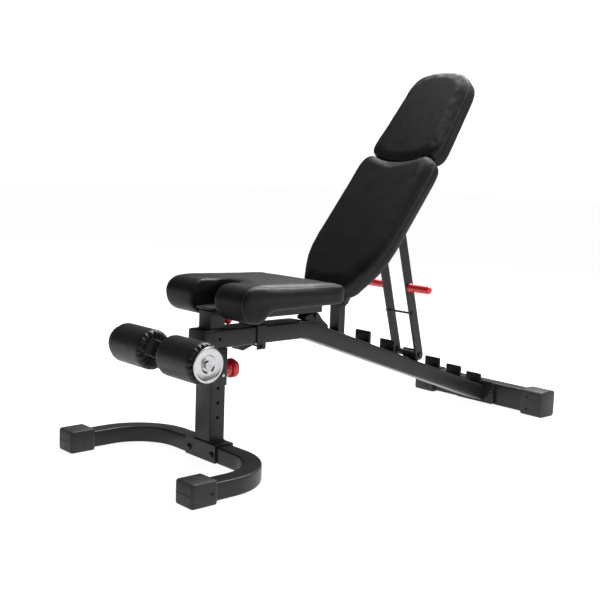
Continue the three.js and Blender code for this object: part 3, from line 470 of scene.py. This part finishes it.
# ---------------------------------------------------------------- pads
def settle(piece, held, pressure, cap):
    """Blows the pad up a little as cloth and keeps each point within cap of where it was."""
    mesh = piece.data
    group = piece.vertex_groups.new(name="held")
    for i, weight in enumerate(held):
        if weight > 0:
            group.add([i], float(weight), "REPLACE")
    cloth = piece.modifiers.new("cloth", "CLOTH")
    settings = cloth.settings
    settings.quality = 4
    settings.mass = 0.3
    settings.tension_stiffness = settings.compression_stiffness = 18
    settings.shear_stiffness = 10
    settings.bending_stiffness = 0.8
    settings.use_pressure = True
    settings.uniform_pressure_force = pressure
    settings.vertex_group_mass = "held"
    settings.effector_weights.gravity = 0
    cloth.collision_settings.use_collision = False
    for step in range(1, 21):
        scene.frame_set(step)
        bpy.context.view_layer.update()
    graph = bpy.context.evaluated_depsgraph_get()
    done = piece.evaluated_get(graph)
    start = np.array([v.co for v in mesh.vertices])
    end = np.array([v.co for v in done.data.vertices])
    piece.modifiers.remove(cloth)
    scene.frame_set(1)
    step = end - start
    far = np.linalg.norm(step, axis=1, keepdims=True)
    step *= np.minimum(1, cap / np.maximum(far, 1e-9))
    mesh.vertices.foreach_set("co", (start + step).astype(np.float32).ravel())
    mesh.update()


def smooth_mesh(mesh, times):
    bm = bmesh.new()
    bm.from_mesh(mesh)
    for _ in range(times):
        bmesh.ops.smooth_vert(bm, verts=bm.verts, factor=0.5,
                              use_axis_x=True, use_axis_y=True, use_axis_z=True)
    bm.to_mesh(mesh)
    bm.free()


def plump(mesh, held):
    """Moves the free surface out by what the smoothing took in."""
    mesh.update()
    co = np.array([v.co for v in mesh.vertices])
    out = np.array([v.normal for v in mesh.vertices])
    co += out * ((1 - 0.5 * held) * PLUMP)[:, None]
    mesh.vertices.foreach_set("co", co.astype(np.float32).ravel())
    mesh.update()


def cushion(node, name, origin, facing, thick, cap, seams):
    """A pad from its CAD solid: remeshed, swollen as cloth, subdivided, then seamed.

    facing points out of the face and origin lies on the face. seams are (point, normal, groove depth).
    """
    source = bpy.data.objects.new("source", frame["nodes"][node].data.copy())
    scene.collection.objects.link(source)
    source.modifiers.new("weld", "WELD").merge_threshold = 1e-5
    shape = source.modifiers.new("shape", "REMESH")
    shape.mode = "VOXEL"
    shape.voxel_size = 5 * MM
    mesh = evaluated_mesh(source)
    bpy.data.objects.remove(source)
    smooth_mesh(mesh, 2)
    mesh.name = name
    piece = bpy.data.objects.new(name, mesh)
    scene.collection.objects.link(piece)
    co = np.array([v.co for v in mesh.vertices])
    depth = (np.array(origin) - co) @ np.array(facing)
    held = np.clip((depth - thick * 0.55) / (thick * 0.25), 0, 1)
    settle(piece, held, 1.6, cap)
    smooth_mesh(piece.data, 4)
    plump(piece.data, held)
    more = piece.modifiers.new("more", "SUBSURF")
    more.levels = more.render_levels = 1
    final = evaluated_mesh(piece)
    final.name = name
    piece.modifiers.clear()
    piece.data = final
    co = np.array([v.co for v in final.vertices])
    out = np.array([v.normal for v in final.vertices])
    for point, normal, groove in seams:
        away = np.abs((co - np.array(point)) @ np.array(normal))
        dip = groove * np.clip(1 - away / (4 * MM), 0, 1) ** 1.5
        co -= out * dip[:, None]
    final.vertices.foreach_set("co", co.astype(np.float32).ravel())
    final.update()
    mesh = final
    mesh.materials.clear()
    mesh.materials.append(looks["vinyl"])
    for face in mesh.polygons:
        face.use_smooth = True
    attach(piece, body_of(node))
    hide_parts(node)
    for i, (point, normal, groove) in enumerate(seams):
        loop = cut_loop(mesh, point, normal)
        if len(loop) > 8:
            line = resample(loop, 3 * MM, True)
            for _ in range(3):
                line = [(line[k - 1] + line[k] * 2 + line[(k + 1) % len(line)]) / 4 for k in range(len(line))]
            tube(f"{name}_seam_{i + 1}", line, 1.1 * MM, body_of(node), "vinyl", "thread",
                 closed=True, sides=6)
    return piece


def out_of_face(slope):
    """The direction a pad at this slope faces."""
    return Vector((-math.sin(slope), 0, math.cos(slope)))


def make_pads():
    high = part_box("seat_pad")[1]
    side = high.y
    seams = [(Vector((0, s * (side - 9 * MM), 0)), Y, 1.0 * MM) for s in (-1, 1)]
    cushion("seat_pad", "seat_cushion", Vector((0, 0, high.z)), Z, 0.06, 3 * MM, seams)

    pivot = Vector(joint("back_recline")["pos_m"])
    facing = out_of_face(BACK_SLOPE)
    on_face = pivot + facing * PIVOT_BEHIND
    seams = [(on_face - facing * 22 * MM, facing, 1.2 * MM), (on_face - facing * 26 * MM, facing, 0.8 * MM)]
    cushion("back_pad", "back_cushion", on_face, facing, 0.065, 3 * MM, seams)

    facing = out_of_face(HEAD_SLOPE)
    co = np.array([v.co for v in frame["nodes"]["head_pad"].data.vertices])
    top = max(float(Vector(c).dot(facing)) for c in co)
    on_face = facing * top
    seams = [(on_face - facing * 20 * MM, facing, 1.2 * MM)]
    cushion("head_pad", "head_cushion", on_face, facing, 0.063, 3 * MM, seams)


def joint(name):
    return next(j for j in frame["joints"] if j["name"] == name)


# ---------------------------------------------------------------- rollers
def make_rollers():
    for side, tag in ((-1, "near"), (1, "far")):
        low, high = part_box(f"roller_{tag}")
        centre = Vector(((low.x + high.x) / 2, 0, (low.z + high.z) / 2))
        radius = (high.z - low.z) / 2
        inner, outer = (low.y, high.y) if side > 0 else (-high.y, -low.y)
        body = f"roller_{tag}_body"
        bore = 9 * MM
        rim = 13 * MM
        profile = []
        for k in range(9):
            profile.append((bore + (radius - rim - bore) * k / 8, inner + 3.5 * MM))
        for k in range(1, 10):
            a = math.pi / 2 * k / 9
            profile.append((radius - rim + rim * math.sin(a), inner + 3.5 * MM + rim * (1 - math.cos(a))))
        for k in range(1, 16):
            profile.append((radius, inner + 3.5 * MM + rim + (outer - inner - 7 * MM - 2 * rim) * k / 16))
        for k in range(0, 10):
            a = math.pi / 2 * (1 - k / 9)
            profile.append((radius - rim + rim * math.sin(a), outer - 3.5 * MM - rim * (1 - math.cos(a))))
        for k in range(1, 9):
            profile.append((radius - rim - (radius - rim - bore) * k / 8, outer - 3.5 * MM))
        pleats = 19
        phase = [draw.uniform(-0.6, 0.6) for _ in range(pleats + 1)]
        size = [draw.uniform(0.55, 1.0) for _ in range(pleats + 1)]
        middle = (inner + outer) / 2

        def gathered(r, h, a):
            turn = a / (2 * math.pi) * pleats
            k = int(turn) % pleats
            t = turn - int(turn)
            near = phase[k] * (1 - t) + phase[(k + 1) % pleats] * t
            amount = size[k] * (1 - t) + size[(k + 1) % pleats] * t
            fold = abs(math.sin(math.pi * (turn + 0.35 * near)))
            share = min(max((radius - r) / (radius - bore), 0), 1)
            near_rim = math.exp(-((share - 0.18) / 0.2) ** 2)
            hub = min(share * 1.5, 1) * 0.45
            lift = (near_rim + hub) * amount * (fold - 0.5) * 5.6 * MM
            ends = 1 if h > middle else -1
            dip = 2.5 * MM * share ** 2
            end_zone = min(max((abs(h - middle) - (outer - inner) / 2 + 26 * MM) / (26 * MM), 0), 1)
            return r + (fold - 1) * amount * 1.3 * MM * end_zone ** 2 * (1 if r > radius - rim else 0.3), \
                h + ends * (lift * end_zone - dip)

        roller = lathe(f"foam_roller_{tag}", profile, centre, Y * side, 228, body, "foam", shape=gathered)
        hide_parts(f"roller_{tag}")

        low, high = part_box(f"roller_disc_{tag}")
        edge = min(abs(low.y), abs(high.y))
        dish = [(8.6 * MM, 0), (17 * MM, 0), (19 * MM, 0.2 * MM), (39 * MM, 3.2 * MM), (43.5 * MM, 3.2 * MM),
                (45 * MM, 3.6 * MM), (44.8 * MM, 5.1 * MM), (42.5 * MM, 5.9 * MM), (39.5 * MM, 6.1 * MM),
                (37 * MM, 5.2 * MM), (25 * MM, 3.4 * MM), (22.5 * MM, 4.2 * MM), (20 * MM, 3.4 * MM),
                (16.5 * MM, 1.8 * MM), (8.6 * MM, 1.8 * MM)]
        disc = lathe(f"end_disc_{tag}", rounded(dish, 1.5 * MM, 4), centre + Y * side * edge, Y * side, 96,
                     body, "zinc", "chrome")
        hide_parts(f"roller_disc_{tag}")


# ---------------------------------------------------------------- red hand parts
def make_handles():
    low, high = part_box("post_pin_knob")
    radius = (high.z - low.z) / 2 + 1.5 * MM
    z = Vector(joint("post_pin_pull")["pos_m"]).z
    back = high.x
    centre = Vector((back - 24 * MM, 0, z))
    line = [(7 * MM, 0.5 * MM), (0.72 * radius, 0), (0.95 * radius, 4 * MM), (radius, 11 * MM),
            (0.96 * radius, 18 * MM), (0.8 * radius, 23 * MM), (0.45 * radius, 24 * MM),
            (0.25 * radius, 22.5 * MM), (1 * MM, 22.5 * MM)]

    def lobes(r, h, a):
        share = min(r / radius, 1)
        return r * (1 - 0.035 * share ** 2 * (1 - math.cos(5 * a + math.pi))), h

    knob = lathe("post_knob", rounded(line, 4 * MM, 5), centre, X, 160, "post_pin", "red_plastic",
                 shape=lobes)
    neck = [(4 * MM, -18 * MM), (14 * MM, -18 * MM), (18.5 * MM, -3 * MM), (19 * MM, 1.5 * MM),
            (6 * MM, 1.5 * MM)]
    collar = lathe("post_knob_neck", rounded(neck, 2 * MM, 4), centre, X, 48, "post_pin", "red_plastic")
    tip = low.x
    pin = [(1 * MM, 0), (3.4 * MM, 0.3 * MM), (4 * MM, 1.4 * MM), (4 * MM, back - 40 * MM - tip)]
    stem = lathe("post_knob_stem", pin, Vector((tip, 0, z)), X, 24, "post_pin", "zinc")
    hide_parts("post_pin_knob")
    for part in (collar, stem):
        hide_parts("post_pin_knob")

    low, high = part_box("post_pin_body")
    body = [(4.7 * MM, 0), (17 * MM, 0), (17 * MM, 6 * MM), (13 * MM, 8.5 * MM), (13 * MM, 12 * MM),
            (4.7 * MM, 12 * MM)]
    base = lathe("pin_housing", rounded(body, 1.5 * MM, 4), Vector((low.x, 0, z)), X, 72, "frame",
                 "black_plastic")
    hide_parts("post_pin_body")

    low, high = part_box("seat_pin_knob")
    z = (low.z + high.z) / 2
    line = [(1 * MM, 0), (3 * MM, 0), (3 * MM, high.x - low.x - 18 * MM), (8 * MM, high.x - low.x - 17 * MM),
            (13 * MM, high.x - low.x - 12 * MM), (13 * MM, high.x - low.x - 4 * MM), (9 * MM, high.x - low.x),
            (1 * MM, high.x - low.x)]

    def fluted(r, h, a):
        return (r * (1 - 0.05 * (1 + math.cos(10 * a)) / 2) if r > 6 * MM else r), h

    small = lathe("seat_knob", rounded(line, 2 * MM, 4), Vector((low.x, 0, z)), X, 120, "seat_pin",
                  "red_plastic", shape=fluted)
    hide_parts("seat_pin_knob")

    for side, tag in ((-1, "near"), (1, "far")):
        low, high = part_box(f"grip_{tag}")
        centre = Vector(((low.x + high.x) / 2, 0, (low.z + high.z) / 2))
        start, end = (low.y, high.y) if side > 0 else (-high.y, -low.y)
        r = 12 * MM
        line = [(2 * MM, start), (14 * MM, start), (14 * MM, start + 3.5 * MM), (r, start + 6 * MM)]
        count = 9
        run = end - start - 16 * MM
        for k in range(count):
            at = start + 8 * MM + run * k / count
            line += [(r, at), (r - 0.9 * MM, at + 1.4 * MM), (r, at + 2.8 * MM)]
        line += [(r, end - 5 * MM), (r - 3.5 * MM, end), (2 * MM, end)]
        grip = lathe(f"hand_grip_{tag}", rounded(line, 1.6 * MM, 3), centre, Y * side, 56, "strut",
                     "red_plastic")
        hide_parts(f"grip_{tag}")


# ---------------------------------------------------------------- front foot and small parts
def make_foot_tube():
    low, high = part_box("front_foot_tube")
    wide = 50 * MM
    leg = high.y - wide / 2
    bend = 145 * MM
    back = high.x - wide / 2
    z = (low.z + high.z) / 2
    half_u, half_v = (high.z - low.z) / 2, wide / 2
    points = [Vector((low.x, -leg, z))]
    for k in range(7):
        points.append(Vector((low.x + (back - bend - low.x) * (k + 1) / 7, -leg, z)))
    for k in range(1, 31):
        a = math.pi / 2 * k / 30
        points.append(Vector((back - bend + bend * math.sin(a), -leg + bend * (1 - math.cos(a)), z)))
    mirror = [Vector((p.x, -p.y, p.z)) for p in reversed(points)]
    points += mirror
    corner = 5 * MM
    outline = []
    for su, sv, start in ((1, 1, 0), (-1, 1, 90), (-1, -1, 180), (1, -1, 270)):
        for step in range(6):
            a = math.radians(start + 18 * step)
            outline.append((su * (half_v - corner) + corner * math.cos(a),
                            sv * (half_u - corner) + corner * math.sin(a)))
    vertices, faces = sweep(points, lambda i: outline)
    piece = new_piece("foot_bow", vertices, faces, "foot", "frame_paint")
    piece.data.set_sharp_from_angle(angle=math.radians(50))
    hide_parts("front_foot_tube")


def cross_screw(name, centre, axis, radius, body):
    """A low pan-head screw with a cross recess."""
    pan = [(radius, -0.5 * MM), (radius, 0.8 * MM), (radius * 0.9, 1.6 * MM), (radius * 0.5, 2.2 * MM),
           (radius * 0.05, 2.3 * MM)]
    head = lathe(name, pan, centre, axis, 40, body, "black_steel")
    u, v = side_axes(axis)
    for long, wide in ((u, v), (v, u)):
        cutter = bpy.data.meshes.new("cutter")
        bm = bmesh.new()
        bmesh.ops.create_cube(bm, size=1)
        size = Matrix((long * radius * 1.15, wide * radius * 0.3, axis * 2.4 * MM)).transposed().to_4x4()
        bmesh.ops.transform(bm, matrix=Matrix.Translation(centre + axis * 2.2 * MM) @ size, verts=bm.verts)
        bmesh.ops.recalc_face_normals(bm, faces=bm.faces)
        bm.to_mesh(cutter)
        bm.free()
        tool = bpy.data.objects.new("cutter", cutter)
        scene.collection.objects.link(tool)
        cut = head.modifiers.new("cut", "BOOLEAN")
        cut.object = tool
        cut.operation = "DIFFERENCE"
        bpy.context.view_layer.update()
        made = evaluated_mesh(head)
        head.modifiers.clear()
        head.data = made
        bpy.data.objects.remove(tool)
    for face in head.data.polygons:
        face.use_smooth = False
    return head


def make_caps():
    for side, tag in ((-1, "near"), (1, "far")):
        low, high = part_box(f"front_cap_{tag}")
        outer = low.y if side < 0 else high.y
        place = Vector((high.x - 17 * MM, outer, 29 * MM))
        cross_screw(f"front_cap_screw_{tag}", place, Y * side, SCREW_R, "foot")
        parting = rectangle((low + high) / 2, X, Y, (high.x - low.x) / 2, (high.y - low.y) / 2, 9 * MM)
        tube(f"front_cap_line_{tag}", resample(parting, 3 * MM, True), 0.9 * MM, "foot", "cap_rubber",
             closed=True, sides=6)
        low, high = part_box(f"rear_cap_{tag}")
        for k, z in enumerate(REAR_SCREW_Z):
            place = Vector((low.x, side * REAR_SCREW_Y, z))
            cross_screw(f"rear_cap_screw_{tag}_{k + 1}", place, -X, SCREW_R, "frame")


def make_welds():
    low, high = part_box("inner_post")
    base = Vector(((low.x + high.x) / 2, 0, low.z + 0.6 * MM))
    half_x, half_y = (high.x - low.x) / 2 + 0.5 * MM, (high.y - low.y) / 2 + 0.5 * MM
    weld("post_weld", rectangle(base, X, Y, half_x, half_y), 2.4 * MM, "foot")
    low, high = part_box("seat_post_sleeve")
    half = (high.y - low.y) / 2
    base = Vector((low.x + half, 0, low.z + 0.5 * MM))
    weld("seat_sleeve_weld", rectangle(base, X, Y, half + 0.5 * MM, half + 0.5 * MM), 2.2 * MM, "frame")
    low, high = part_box("roller_arm")
    arm_high = high.x
    slope = math.radians(26)
    middle = Vector((arm_high - 0.5 * MM, 0, 244.9 * MM))
    half_z = 22 * MM / math.cos(slope) + 0.6 * MM
    weld("arm_weld", rectangle(middle, Z, Y, half_z, 12.5 * MM + 0.6 * MM), 2.2 * MM, "frame")
    for k in range(1, 7):
        low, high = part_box(f"ladder_stop_{k}")
        z = low.z
        front = low.x
        tilt = math.tan(SPINE_SLOPE)
        width = high.y - 1 * MM
        z_front = z + (high.x - low.x) * tilt
        ends = [Vector((front - 0.6 * MM, y, z_front + 1.2 * MM)) for y in (-width, width)]
        weld(f"stop_weld_{k}", ends, 2.3 * MM, "frame", closed=False)
    low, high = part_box("pivot_upright")
    tilt = math.tan(SPINE_SLOPE)
    rise = (high.x - low.x) * tilt
    near, far = low.y - 0.4 * MM, high.y + 0.4 * MM
    corners = [Vector((low.x, near, low.z + rise)), Vector((high.x, near, low.z)),
               Vector((high.x, far, low.z)), Vector((low.x, far, low.z + rise))]
    weld("upright_weld", [c + Z * 0.8 * MM for c in corners], 2.0 * MM, "frame")


# ---------------------------------------------------------------- stage
def area_light(name, place, target, width, height, power, colour=(1, 1, 1)):
    data = bpy.data.lights.new(name, "AREA")
    data.shape = "RECTANGLE"
    data.size, data.size_y = width, height
    data.energy = power
    data.color = colour
    lamp = bpy.data.objects.new(name, data)
    scene.collection.objects.link(lamp)
    lamp.location = place
    lamp.rotation_euler = (Vector(target) - Vector(place)).to_track_quat("-Z", "Y").to_euler()


def make_stage():
    mesh = bpy.data.meshes.new("floor")
    size = 30
    corners = [(-size, -size, 0), (size, -size, 0), (size, size, 0), (-size, size, 0)]
    mesh.from_pydata(corners, [], [(0, 1, 2, 3)])
    mesh.materials.append(looks["floor"])
    floor = bpy.data.objects.new("floor", mesh)
    scene.collection.objects.link(floor)
    world = bpy.data.worlds.new("studio")
    world.use_nodes = True
    tree = world.node_tree
    back = tree.nodes["Background"]
    back.inputs["Color"].default_value = (1, 1, 1, 1)
    back.inputs["Strength"].default_value = ROOM_LIGHT
    plain = tree.nodes.new("ShaderNodeBackground")
    plain.inputs["Color"].default_value = (1, 1, 1, 1)
    plain.inputs["Strength"].default_value = 1.2
    path = tree.nodes.new("ShaderNodeLightPath")
    mix = tree.nodes.new("ShaderNodeMixShader")
    tree.links.new(path.outputs["Is Camera Ray"], mix.inputs["Fac"])
    tree.links.new(back.outputs["Background"], mix.inputs[1])
    tree.links.new(plain.outputs["Background"], mix.inputs[2])
    tree.links.new(mix.outputs["Shader"], tree.nodes["World Output"].inputs["Surface"])
    scene.world = world
    scene.view_settings.view_transform = "Standard"
    middle = (cad_low + cad_high) / 2
    area_light("top", middle + Vector((1.5, 0.3, 2.4)), middle, 2.6, 2.6, 300)
    area_light("near_side", middle + Vector((1.0, -3.0, 1.4)), middle, 1.6, 2.2, 16)


# ---------------------------------------------------------------- build
make_camera()
looks = make_materials()
make_stage()

# how far each slot's sharp edges are rounded
widths = {"frame_paint": 1.0 * MM, "dark_paint": 0.8 * MM, "zinc": 0.5 * MM, "black_steel": 0.5 * MM,
          "cap_rubber": 2.2 * MM, "board": 1.2 * MM, "black_plastic": 1.0 * MM, "foam": 1.0 * MM,
          "vinyl": 1.0 * MM, "red_plastic": 1.0 * MM}
slots = {s["node"]: s["material_slot"] for s in frame["record"]["subparts"]}
for node, piece in frame["nodes"].items():
    piece.data.materials.clear()
    piece.data.materials.append(looks[slots[node]])
    soften_cad(node, widths[slots[node]])

make_rollers()
make_handles()
make_foot_tube()
make_caps()
make_welds()
make_pads()
